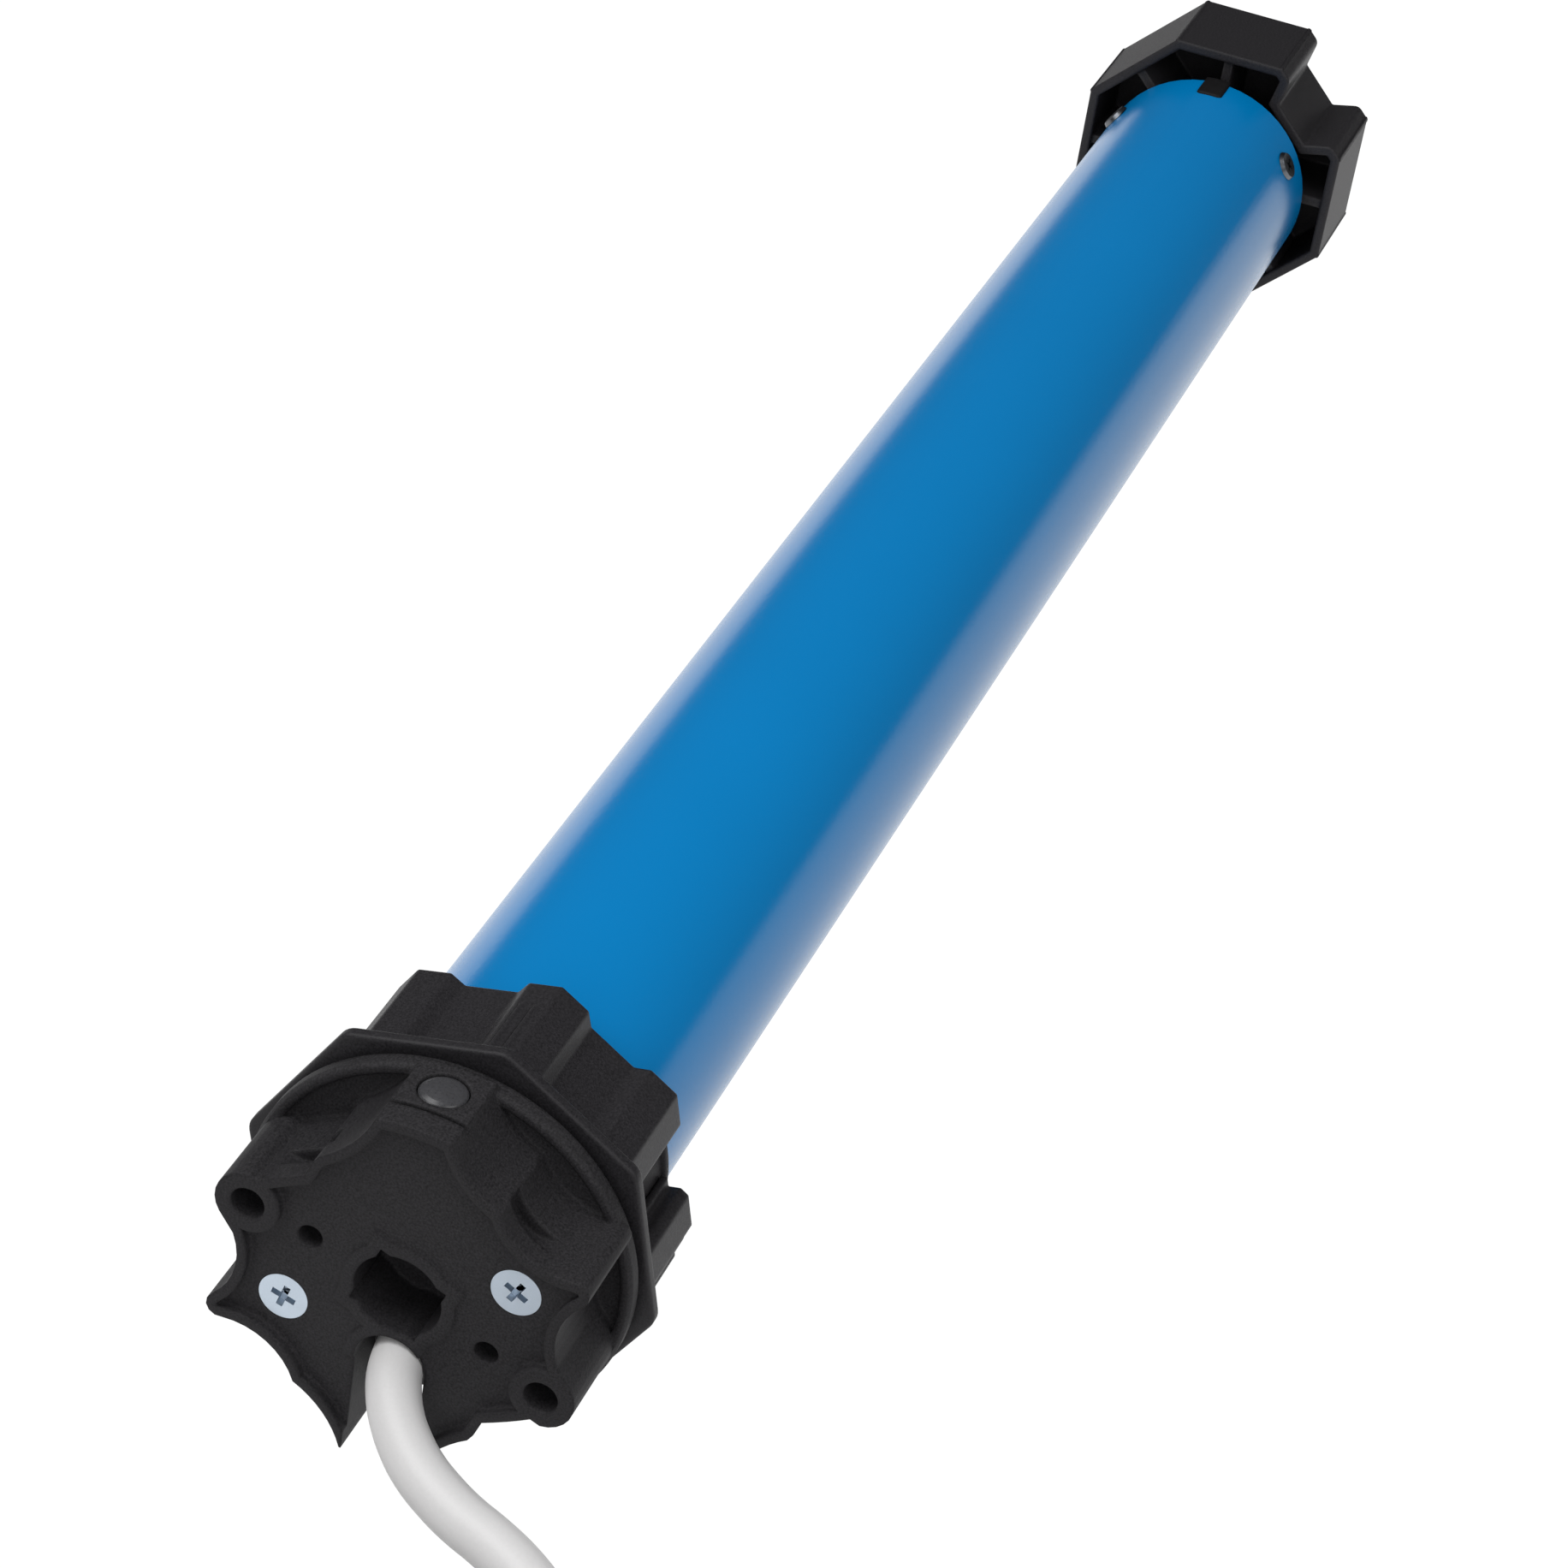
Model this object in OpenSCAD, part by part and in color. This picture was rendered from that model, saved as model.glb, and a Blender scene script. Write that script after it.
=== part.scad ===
// Tubular roller blind motor: star-shaped head, turning crown, round motor tube,
// octagonal drive wheel and mains cable. Millimetres, +X from head to wheel, +Z up.
// The origin is on the motor axis, in the plane of the head's front rim.

/* [Head] */
// Radius over the top lobe of the star-shaped head
star_r = 30.7; // [30.4:0.1:31]
// Depth of the star from its front rim to the round flange
star_t = 13; // [12.6:0.1:14]
// Largest radius of the round flange behind the star
flange_r = 30.1; // [29.8:0.1:30.4]
// Thickness of the round flange
flange_t = 4.1; // [3.8:0.1:4.6]
// Depth of the recess inside the flange's rim
flange_recess = 1.4; // [1:0.1:1.8]
// Width of the raised rim round the face
rim_w = 1.5; // [1.2:0.1:1.8]
// Depth of the face below the rim
face_drop = 1.5; // [1.2:0.1:1.8]
// Radius of the round part of the central socket
socket_r = 6.8; // [6.6:0.05:6.9]
// Depth of the central socket
socket_depth = 12; // [10:0.5:12.5]
// Diameter of the circle through the two bracket holes
bracket_pcd = 49.3; // [49:0.1:49.6]
// Diameter of a bracket hole
bracket_hole_d = 5.3; // [4.8:0.1:5.6]
// Diameter of the circle through the two head screws
screw_pcd = 37.6; // [37.2:0.1:38]
// Diameter of a head screw's countersunk head
screw_head_d = 7.7; // [7:0.1:8]
// Diameter of a head screw's shank
screw_d = 4; // [3.6:0.1:4.2]
// Width of the cable slot at its round top
slot_w = 10.8; // [10.4:0.1:11.2]

/* [Button] */
// Diameter of the setting button
button_d = 7.2; // [6.8:0.1:7.4]
// Distance of the button's axis from the front rim
button_x = 10; // [9.8:0.1:10.4]
// Travel of the button
button_travel = 1; // [0.6:0.1:1.2]

/* [Crown] */
// How far the crown's front plate stands out over the barrel
crown_plate_out = 2.9; // [2.6:0.1:3.2]
// Thickness of the crown's front plate
crown_plate_t = 2; // [1.6:0.1:2.4]
// Thickness of the crown's barrel over the motor tube, at the middle of a flat
crown_barrel_t = 5.05; // [4.8:0.05:5.5]
// Length of the whole crown
crown_len = 22.95; // [22:0.05:24]
// Angle of the crown's first corner from the top
crown_turn = 8.9; // [0:0.1:22]

/* [Tube] */
// Outer diameter of the motor tube
tube_d = 45; // [44.6:0.1:45.1]
// Wall of the motor tube
tube_wall = 1.2; // [1:0.05:1.4]
// Length from the head's front rim to the far end of the drive wheel
total_len = 447; // [440:1:520]

/* [Drive wheel] */
// Width across flats of the drive wheel
wheel_af = 56; // [55:0.5:58]
// Depth of the drive wheel
wheel_t = 24.5; // [22:0.5:28]
// Wall of the drive wheel's shell and ribs
wheel_wall = 2; // [1.6:0.1:2.4]
// Distance of the seam groove's floor from the axis
groove_floor = 23; // [22.5:0.1:24]
// Diameter of the output shaft
shaft_d = 12; // [11:0.5:13]

/* [Gearbox] */
// Wall of the gearbox ring behind its teeth
ring_wall = 3.02; // [2.9:0.02:3.8]
// Radius of the pins that carry the planets
pin_r = 1.5; // [1.2:0.1:1.8]

/* [Motor] */
// Room for the leads between the capacitor and the motor
lead_room = 25.5; // [15:0.5:40]
// Radius of the rotor
rotor_r = 11; // [9:0.1:11.1]
// Radius of the rotor shaft
rotor_shaft_r = 3; // [2.6:0.1:3]

/* [Cable] */
// Diameter of the cable
cable_d = 8; // [7.6:0.1:8]
// Diameter of one insulated core
core_d = 2.4; // [2:0.1:2.6]
// Length of the bare cores with their ferrules
core_len = 44; // [30:1:46]

/* [Fits] */
// Radial clearance of a piece that slides or turns in another
slide_fit = 0.05; // [0.03:0.01:0.08]
// Axial air between pieces that turn past each other
air = 0.3; // [0.25:0.05:0.4]
// Backlash of each pair of gears
backlash = 0.14; // [0.12:0.01:0.18]

/* [Hidden] */
$fn = 64;

// Values of the head
star_k = star_r / 30.7;
head_len = star_t + flange_t;
bracket_angle = 108.7;
screw_angle = 66;
small_hole_r = 1.9;
small_hole_at = 14.8;
small_hole_depth = 10;
boss_r = 5.1;
boss_ring_r = 4.9;
socket_corner = 7.9;
socket_rim_w = 2;
insert_step = 0.4;
slot_r = slot_w / 2;
slot_up = -13.2;
hook_w = 1.8;
head_core_r = 21;
flange_rim_w = 1.8;
flange_rim_x0 = star_t + 1.4;
flange_floor = flange_rim_x0 + flange_recess;
undercut_x = [3.9, 7];
undercut_right = [18.8, 19.46] * star_k;
undercut_left = [-18.4, 18.8] * star_k;
undercut_r = [5.4, 5.8];
groove_x = 4.5;
groove_w = 0.8;
groove_depth = 1.6;
countersink_t = 2.2;
screw_len = 24;
cross_len = 3.8;
cross_w = 1;
cross_depth = 1.5;

// Values of the button and its bore
button_top = star_r - 0.5;
button_r = button_d / 2;
button_foot_r = button_r + 0.6;
button_foot_t = 1.3;
button_skin = 3.2;
button_gap = 0.2;
button_play = 0.3;
button_floor = 18.5;
switch_h = 2.2;
plunger_h = 1.2;

// Values of the sleeve that carries the crown and the tube
tube_r = tube_d / 2;
tube_in_r = tube_r - tube_wall;
plug_r = tube_in_r - slide_fit;
shoulder_r = tube_r + 2.5;
shoulder_t = 2.1;
crown_x0 = head_len + shoulder_t + air;
crown_x1 = crown_x0 + crown_len;
crown_gear_w = 4.6;
skirt_x0 = crown_x0 + crown_gear_w + air;
crown_bore_r = tube_r + 1;
crown_barrel_h = tube_r + crown_barrel_t;
crown_plate_h = crown_barrel_h + crown_plate_out;
skirt_r = crown_bore_r - slide_fit - 0.03;
collar_r = tube_r + 1.7;
collar_t = 1.4;
collar_x0 = crown_x1 + air;
neck_in_r = plug_r - 2.05;
neck_r = neck_in_r + 2;
tube_x0 = skirt_x0 + 2;
spigot_x1 = tube_x0 + 22;
lead_y = -0.5;
lead_z = -12.5;
lead_x0 = 9;

// Teeth of the limit drive: the crown's inner ring turns a pinion
crown_teeth = 56;
pinion_teeth = 14;
pinion_angle = -30;
crown_pitch_r = crown_bore_r - 1.1;
limit_module = 2 * crown_pitch_r / crown_teeth;
pinion_pitch_r = pinion_teeth * limit_module / 2;
pinion_at = crown_pitch_r - pinion_pitch_r;
pinion_hub_r = neck_in_r - pinion_at - 0.1;
pressure_angle = 20;
addendum = 0.8;
dedendum = 1.05;

// Teeth of the three planetary stages
sun_teeth = 12;
planet_teeth = 21;
ring_teeth = sun_teeth + 2 * planet_teeth;
gear_module = (plug_r - ring_wall) / (ring_teeth / 2 + dedendum);
sun_pitch_r = sun_teeth * gear_module / 2;
planet_pitch_r = planet_teeth * gear_module / 2;
ring_pitch_r = ring_teeth * gear_module / 2;
planet_at = sun_pitch_r + planet_pitch_r;
carrier_r = planet_at + 3.4;

// Places along the axis, from the drive wheel back to the head
wheel_x0 = total_len - wheel_t;
tube_x1 = wheel_x0 - 3.1;
plug_len = 17.4;
plug_x0 = tube_x1 - plug_len;
plug_lip = 1.2;
planet_w = [8, 8, 11.6];
disc_w = [4, 4, 5];
disc_gap = 0.4;
stage_gap = 0.7;
function disc_x1(i) = i == 3 ? plug_x0 - disc_gap : planet_x0(i + 1) - stage_gap;
function disc_x0(i) = disc_x1(i) - disc_w[i - 1];
function planet_x1(i) = disc_x0(i) - disc_gap;
function planet_x0(i) = planet_x1(i) - planet_w[i - 1];
ring_x0 = planet_x0(1) - 3.5;
cover_t = 8;
cover_x0 = ring_x0 - cover_t;
brake_len = 42;
cap_t = 8;
rear_cover_x0 = cover_x0 - brake_len - cap_t;
bearing_r = 8;
bearing_w = 5;
brake_x0 = rear_cover_x0 + cap_t + 6;
brake_disc_t = 4;
brake_plate_x0 = brake_x0 + brake_disc_t + air;
brake_plate_t = 4;
board_x0 = spigot_x1 + 3;
board_len = 72;
capacitor_x0 = board_x0 + board_len + 8;
capacitor_len = 50;
capacitor_r = plug_r - 5.25;
capacitor_ring_w = 8;
front_cover_x0 = capacitor_x0 + capacitor_len + lead_room;
winding_room = 6;
stator_x0 = front_cover_x0 + cap_t + winding_room;
stator_x1 = rear_cover_x0 - winding_room;

// Values of the end plug and of the wheel
key_w = 5.3;
key_len = 7.2;
key_angle = -1.7;
key_round = 1;
tube_screw_x = tube_x1 - 8.4;
tube_screw_angles = [57, -57, 180];
tube_screw_r = 1.9;
bush_r = shaft_d / 2 + 3;
hub_r = shaft_d / 2 + 4;
wheel_recess = 4;
shaft_flat = shaft_d / 2 - 1.5;
wheel_screw_r = 2.5;

// Values of the cable and of the flat oval coil in line with the motor
cable_r = cable_d / 2;
floor_z = -32.3;
coil_pitch = cable_d + 0.6;
coil_x = -88;
coil_y = -17;
coil_r = 44.4;
coil_run = 85;
coil_layers = 2;
layer_turns = 2.3125;
coil_rings = 32;
tie_w = 5;
tie_t = 1;
tie_gap = 0.35;
coil_z = floor_z + tie_t + tie_gap + cable_r;

// Points of the cable's free stretch, from the head to the coil
cable_points = [
    [9, -0.5, -12.5], [4.9, -0.5, -12.5], [0.8, -1.2, -13], [-3.1, -2.8, -13.7],
    [-6.8, -5.1, -14.6], [-10.1, -8, -15.5], [-13.1, -11.5, -16.3], [-15.6, -15.6, -17],
    [-17.8, -20.2, -17.6], [-19.6, -25.2, -18.1], [-21.8, -30.3, -18.8], [-24.7, -35.2, -19.8],
    [-28.3, -39.8, -21], [-32.5, -44.1, -22.4], [-37.2, -48, -24], [-42.5, -51.5, -25.5],
    [-48.1, -54.5, -26.8], [-54.1, -57.1, -27.7], [-60.4, -59.1, -28.2], [-66.8, -60.6, -28.1],
    [-73.4, -61.4, -27.5], [-80, -61.4, -26.95]];

// Helpers: profiles in the plane across the axis, drawn as (y, z)

// Extrudes a profile of (y, z) from x0 to x1
module slab(x0, x1) {
    translate([x0, 0, 0]) rotate([90, 0, 90]) linear_extrude(x1 - x0) children();
}

// Turns a profile of (radius, x) round the motor axis
module lathe() {
    rotate([0, 90, 0]) rotate_extrude() children();
}

// A round bar along the axis
module bar(x0, x1, r, r_end = -1) {
    translate([x0, 0, 0]) rotate([0, 90, 0])
        cylinder(h = x1 - x0, r1 = r, r2 = r_end < 0 ? r : r_end);
}

// Puts a child at an angle clockwise from the top, seen from the head, at a radius
module polar(angle, r) {
    rotate([angle, 0, 0]) translate([0, 0, r]) children();
}

// The same for a profile
module polar2(angle, r) {
    rotate(angle) translate([0, r]) children();
}

function dir(a) = [-sin(a), cos(a)];
function side(a) = [-cos(a), -sin(a)];

// Centre of the circle through three points
function centre3(a, b, c) =
    let (d = 2 * (a.x * (b.y - c.y) + b.x * (c.y - a.y) + c.x * (a.y - b.y)),
        a2 = a * a, b2 = b * b, c2 = c * c)
    [(a2 * (b.y - c.y) + b2 * (c.y - a.y) + c2 * (a.y - b.y)) / d,
        (a2 * (c.x - b.x) + b2 * (a.x - c.x) + c2 * (b.x - a.x)) / d];

function wrap(a) = a > 180 ? a - 360 : a < -180 ? a + 360 : a;

// Arc from a through b towards c in n steps, without its last point
function arc3(a, b, c, n) =
    let (m = centre3(a, b, c), r = norm(a - m),
        start = atan2(a.y - m.y, a.x - m.x),
        half = wrap(atan2(b.y - m.y, b.x - m.x) - start),
        rest = wrap(atan2(c.y - m.y, c.x - m.x) - start - half),
        sweep = half + rest)
    [for (i = [0:n - 1]) m + r * [cos(start + sweep * i / n), sin(start + sweep * i / n)]];

// A closed outline moved inwards by d; the outline runs clockwise
function inset(p, d) =
    let (n = len(p))
    [for (i = [0:n - 1])
        let (e1 = p[i] - p[(i + n - 1) % n], e2 = p[(i + 1) % n] - p[i],
            n1 = [e1.y, -e1.x] / norm(e1), n2 = [e2.y, -e2.x] / norm(e2))
        p[i] + d * (n1 + n2) / (1 + n1 * n2)];

// Octagon with rounded corners, first corner at an angle from the top
function octagon(apothem, corner_r, first, steps) =
    let (c = (apothem - corner_r) / cos(22.5))
    [for (i = [0:7]) for (k = [0:steps])
        let (a = first + 45 * i)
        c * dir(a) + corner_r * dir(a + 45 * (k / steps - 0.5))];

// Half width angle of a gear tooth at radius r
function involute(a) = tan(a) * 180 / PI - a;
function tooth_half(r, pitch_r, half) =
    let (base = pitch_r * cos(pressure_angle))
    half + involute(pressure_angle) - (r > base ? involute(acos(base / r)) : 0);

// Outline of a gear with one tooth pointing up; slack widens each tooth
function gear(n, pitch_r, root_r, tip_r, slack) =
    let (half = 90 / n + slack / pitch_r * 45 / PI)
    [for (t = [0:n - 1]) for (s = [-1, 1]) for (k = [0:3])
        let (f = s < 0 ? k / 3 : 1 - k / 3, r = root_r + (tip_r - root_r) * f)
        r * dir(360 / n * t + s * tooth_half(r, pitch_r, half))];

// Head

// Corners of one half of the star, as (to the right, up) seen from the front
lobe_left = [-5.8, 30.15] * star_k;
lobe_right = [5.7, 30.15] * star_k;
cusp = [13.8, 21.1] * star_k;
tip_top = [25.6, 14] * star_k;
tip_low = [27.5, 10.5] * star_k;
waist_low = [26, -3.5] * star_k;
arm_low = [22.3, -12.4] * star_k;
cusp_low = [15.3, -16.2] * star_k;
step_low = [13.5, -20.3] * star_k;
boss_at = bracket_pcd / 2 * [sin(bracket_angle), cos(bracket_angle)];
star_half = concat(
    arc3(lobe_left, [0, star_r], lobe_right, 8),
    arc3(lobe_right, [9, 24.6] * star_k, cusp, 8),
    arc3(cusp, [17.6, 16.1] * star_k, tip_top, 8),
    arc3(tip_top, [28.1, 12.9] * star_k, tip_low, 5),
    arc3(tip_low, [24.3, 4] * star_k, waist_low, 8),
    [for (a = [35:-15:-85]) boss_at + boss_r * [cos(a), sin(a)]],
    arc3(arm_low, [18.5, -14.6] * star_k, cusp_low, 4),
    [cusp_low, [14.3, -19] * star_k],
    arc3(step_low, [9.4, -23.9] * star_k, -lobe_left, 8));
star = concat(star_half, [for (p = star_half) -p]);

// Turns (right, up) points into a profile of (y, z)
module front_shape(points) {
    mirror([1, 0]) polygon(points);
}

module slot_shape() {
    mirror([1, 0]) {
        translate([0, slot_up]) circle(slot_r);
        polygon([[-slot_r, slot_up], [slot_r, slot_up], [slot_r, slot_up - 4.2],
            [slot_r + 0.3, slot_up - 7.2], [slot_r + 1.3, slot_up - 9.6],
            [slot_r + 2.8, slot_up - 12], [slot_r + 7, slot_up - 18.8],
            [-slot_r, slot_up - 18.8]]);
    }
}

module socket_shape(grow) {
    side_half = socket_corner / sqrt(2) + grow;
    circle(socket_r + grow);
    rotate(screw_angle + 45) square(2 * side_half, center = true);
}

// The parts of the face that stay above its recess
module raised_shapes() {
    socket_shape(socket_rim_w);
    difference() {
        translate([0, slot_up]) circle(slot_r + hook_w);
        polar2(0, slot_up - 20.5) square([60, 40], center = true);
        translate([-20, slot_up]) square([40, 40], center = true);
    }
}

module button_bore() {
    translate([button_x, 0, button_top - button_skin])
        cylinder(h = button_skin + 5, r = button_r + button_gap);
    lower = button_top - button_skin - button_floor;
    bore_r = button_foot_r + 0.2;
    translate([button_x, 0, button_floor]) cylinder(h = lower + 0.01, r = bore_r);
    translate([button_x, -bore_r, button_floor])
        cube([head_len - button_x + 1, 2 * bore_r, lower]);
}

module screw_hole() {
    bar(face_drop, head_len + 1, screw_d / 2 + slide_fit);
    bar(-1, face_drop + 0.01, screw_head_d / 2 + slide_fit);
    bar(face_drop, face_drop + countersink_t, screw_head_d / 2 + slide_fit, screw_d / 2);
}

// Crescent-shaped undercuts in the walls beside the top lobe
module undercuts() {
    slab(undercut_x[0], undercut_x[1]) mirror([1, 0]) {
        translate(undercut_right) circle(undercut_r[0]);
        translate(undercut_left) circle(undercut_r[1]);
    }
}

module star_head() {
    color([0.13, 0.12, 0.13]) difference() {
        union() {
            slab(0, flange_floor + 0.1) front_shape(star);
            lathe() polygon([[0, 2.5], [head_core_r, 2.5], [head_core_r, flange_floor],
                [flange_r - flange_rim_w, flange_floor],
                [flange_r - flange_rim_w, flange_rim_x0 + 0.2],
                [flange_r - 1.4, flange_rim_x0], [flange_r - 0.5, flange_rim_x0],
                [flange_r, flange_rim_x0 + 0.6], [flange_r, head_len], [0, head_len]]);
        }
        difference() {
            slab(-1, face_drop) front_shape(inset(star, rim_w));
            slab(face_drop - insert_step, face_drop + 1) raised_shapes();
            for (s = [0, 180]) polar(bracket_angle + s, bracket_pcd / 2)
                bar(0, face_drop + 1, boss_ring_r);
        }
        slab(-1, socket_depth) socket_shape(0);
        slab(-1, head_len + 1) slot_shape();
        for (s = [0, 180]) {
            polar(bracket_angle + s, bracket_pcd / 2)
                bar(-1, head_len - 2, bracket_hole_d / 2);
            polar(bracket_angle + s, small_hole_at) bar(-1, small_hole_depth, small_hole_r);
            polar(screw_angle + s, screw_pcd / 2) screw_hole();
        }
        polar(pinion_angle, pinion_at) bar(star_t - 1, head_len + 1, pin_r + slide_fit);
        button_bore();
        translate([groove_x, -8, star_r - groove_depth]) cube([groove_w, 16, 3]);
        undercuts();
    }
}

module head_screws() {
    color([0.78, 0.82, 0.86]) for (s = [0, 180]) polar(screw_angle + s, screw_pcd / 2)
        difference() {
            union() {
                bar(face_drop, face_drop + countersink_t, screw_head_d / 2, screw_d / 2);
                bar(face_drop + 0.5, face_drop + screw_len, screw_d / 2);
            }
            for (turn = [0, 90]) rotate([turn + (s == 0 ? 53 : 40), 0, 0])
                translate([face_drop - 0.5, -cross_len / 2, -cross_w / 2])
                cube([cross_depth + 0.5, cross_len, cross_w]);
            bar(face_drop - 0.5, face_drop + cross_depth + 0.3, cross_w * 0.7);
        }
}

module cable_gland() {
    color([0.16, 0.16, 0.17]) difference() {
        slab(lead_x0, head_len + shoulder_t) intersection() {
            union() {
                translate([0, slot_up]) circle(slot_r - slide_fit);
                translate([-slot_r + slide_fit, slot_up - 8])
                    square([2 * (slot_r - slide_fit), 8]);
            }
            circle(neck_in_r - 0.2);
        }
        translate([0, lead_y, lead_z]) bar(0, head_len + 10, cable_r + slide_fit);
    }
}

module inner_lead() {
    color([0.9, 0.9, 0.88]) translate([0, lead_y, lead_z])
        bar(lead_x0, board_x0 + 4, cable_r);
}

module setting_button() {
    foot = button_top - button_skin - button_play;
    low = button_floor + switch_h + plunger_h + button_travel + 0.1;
    color([0.3, 0.3, 0.32]) translate([button_x, 0, 0]) rotate_extrude() polygon([
        [0, low], [1.5, low], [1.5, foot - button_foot_t],
        [button_foot_r, foot - button_foot_t], [button_foot_r, foot], [button_r, foot],
        [button_r, button_top], [button_r * 0.92, button_top + 0.3],
        [button_r * 0.75, button_top + 0.6], [button_r * 0.5, button_top + 0.82],
        [button_r * 0.25, button_top + 0.95], [0, button_top + 1]]);
}

// A wire wound round a line from z0 to z1
module spring(z0, z1, r, wire_r, turns, rings, sides) {
    steps = turns * rings;
    function at(i) = let (a = 360 * i / rings)
        [r * cos(a), r * sin(a), z0 + (z1 - z0) * i / steps];
    points = [for (i = [0:steps]) for (k = [0:sides - 1])
        let (a = 360 * i / rings, b = 360 * k / sides)
        at(i) + wire_r * [cos(b) * cos(a), cos(b) * sin(a), sin(b)]];
    polyhedron(points, tube_faces(steps, sides), convexity = 8);
}

// Faces of a tube of rings, with its two flat ends
function tube_faces(steps, sides) = concat(
    [for (i = [0:steps - 1]) for (k = [0:sides - 1]) let (j = (k + 1) % sides)
        [i * sides + k, (i + 1) * sides + k, i * sides + j]],
    [for (i = [0:steps - 1]) for (k = [0:sides - 1]) let (j = (k + 1) % sides)
        [(i + 1) * sides + k, (i + 1) * sides + j, i * sides + j]],
    [[for (k = [0:sides - 1]) k]],
    [[for (k = [sides - 1:-1:0]) steps * sides + k]]);

module button_spring() {
    foot = button_top - button_skin - button_play - button_foot_t;
    color([0.7, 0.7, 0.72]) translate([button_x, 0, 0])
        spring(button_floor + switch_h + 0.5, foot - 0.5, 2.6, 0.3, 4, 8, 6);
}

module button_switch() {
    color([0.2, 0.2, 0.22]) translate([button_x, 0, button_floor]) {
        translate([-3, -3, 0]) cube([6, 6, switch_h]);
        translate([0, 0, switch_h - 0.5]) cylinder(h = plunger_h + 0.5, r = 1.2);
    }
}

// Bearing sleeve and limit drive

module bearing_sleeve() {
    boss_end = face_drop + screw_len + 3;
    color([0.12, 0.12, 0.13]) difference() {
        union() {
            lathe() polygon([[neck_in_r, head_len], [shoulder_r, head_len],
                [shoulder_r, head_len + shoulder_t], [neck_r, head_len + shoulder_t],
                [neck_r, skirt_x0], [skirt_r, skirt_x0], [skirt_r, collar_x0],
                [collar_r - 0.3, collar_x0], [collar_r, collar_x0 + 0.3],
                [collar_r, collar_x0 + collar_t], [tube_r + slide_fit, collar_x0 + collar_t],
                [tube_r + slide_fit, tube_x0 - air], [plug_r, tube_x0 - air],
                [plug_r, spigot_x1], [neck_in_r, spigot_x1]]);
            intersection() {
                for (s = [0, 180]) polar(screw_angle + s, screw_pcd / 2)
                    bar(head_len, boss_end, 3.6);
                bar(head_len, spigot_x1, neck_in_r + 1);
            }
        }
        for (s = [0, 180]) polar(screw_angle + s, screw_pcd / 2)
            bar(head_len - 1, boss_end - 1, screw_d / 2 + slide_fit);
        polar(pinion_angle, pinion_at)
            bar(crown_x0 - 0.1, skirt_x0 - 0.1, pinion_pitch_r + limit_module + 0.4);
    }
}

module limit_pin() {
    color([0.75, 0.76, 0.78]) polar(pinion_angle, pinion_at)
        bar(star_t - 1, crown_x0 + 3.4, pin_r);
}

module limit_gear() {
    x0 = crown_x0 + 0.2;
    color([0.92, 0.92, 0.88]) polar(pinion_angle, pinion_at) difference() {
        union() {
            slab(x0, skirt_x0 - air) rotate(0) polygon(gear(pinion_teeth, pinion_pitch_r,
                pinion_pitch_r - dedendum * limit_module,
                pinion_pitch_r + addendum * limit_module, -backlash / 2));
            bar(x0, skirt_x0 + 2, pinion_hub_r);
        }
        bar(x0 - 1, x0 + 3.6, pin_r + slide_fit);
    }
}

module limit_magnet() {
    color([0.35, 0.35, 0.38]) polar(pinion_angle, pinion_at)
        bar(skirt_x0 + 2, skirt_x0 + 4, pinion_hub_r - 0.1);
}

// Crown

// One side of the barrel as (along, out) points: block, channel, block
function barrel_side(i) =
    let (h = crown_barrel_h, a = crown_turn + 22.5 + 45 * i,
        half = h * tan(22.5), floor_h = h - 1.85)
    [for (p = [[-half, h], [-6.2, h], [-4.2, floor_h], [4.2, floor_h], [6.2, h]])
        p.x * side(a) + p.y * dir(a)];

ridge_at = 5.2;
ridge_r = 1.1;
ridge_h = 0.7;

module crown_ring() {
    gear_x1 = crown_x0 + crown_gear_w;
    seam = crown_turn + 67.5;
    h = crown_barrel_h;
    color([0.14, 0.14, 0.15]) difference() {
        union() {
            slab(crown_x0, crown_x0 + crown_plate_t)
                polygon(octagon(crown_plate_h, 3, crown_turn, 4));
            slab(crown_x0 + crown_plate_t, crown_x1)
                polygon([for (i = [0:7]) each barrel_side(i)]);
            for (s = [-1.6, 0.6]) rotate([crown_turn - 22.5, 0, 0])
                translate([crown_x0 + crown_plate_t, s - h * tan(22.5) + 3, h - 0.5])
                cube([15, 0.8, 0.9]);
            rotate([crown_turn + 112.5, 0, 0]) {
                slab(crown_x0 + crown_plate_t, crown_x1 - 1)
                    polygon([[10.2, h - 0.1], [9.5, h + 0.5], [6.7, h + 1], [6.4, h - 0.1]]);
                slab(crown_x0 + crown_plate_t, crown_x1 - 1)
                    translate([ridge_at - ridge_r, h - 1]) square([2 * ridge_r, 1 + ridge_h]);
                translate([0, ridge_at, h + ridge_h])
                    bar(crown_x0 + crown_plate_t, crown_x1 - 1, ridge_r);
            }
        }
        bar(gear_x1, crown_x1 + 1, crown_bore_r);
        slab(crown_x0 - 1, gear_x1 + 0.01) rotate(pinion_angle)
            polygon(gear(crown_teeth, crown_pitch_r,
                crown_pitch_r - addendum * limit_module,
                crown_pitch_r + dedendum * limit_module, backlash / 2));
        rotate([seam, 0, 0]) translate([gear_x1 + 0.4, -3.4, 20])
            cube([crown_len, 6.8, 10]);
        rotate([seam, 0, 0]) translate([crown_x0 + crown_plate_t, -5, crown_bore_r + 1])
            cube([crown_len, 10, 10]);
    }
}

// Tube

// The key seen from outside, with rounded corners
module key_shape(grow) {
    x0 = tube_x1 - key_len;
    half = key_w / 2;
    for (s = [-1, 1]) translate([x0 + key_round, s * (half - key_round)])
        circle(key_round + grow);
    translate([x0 - grow, key_round - half])
        square([2 * key_round, key_w - 2 * key_round]);
    translate([x0 + key_round, -half - grow])
        square([key_len - key_round + plug_lip, key_w + 2 * grow]);
}

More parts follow.
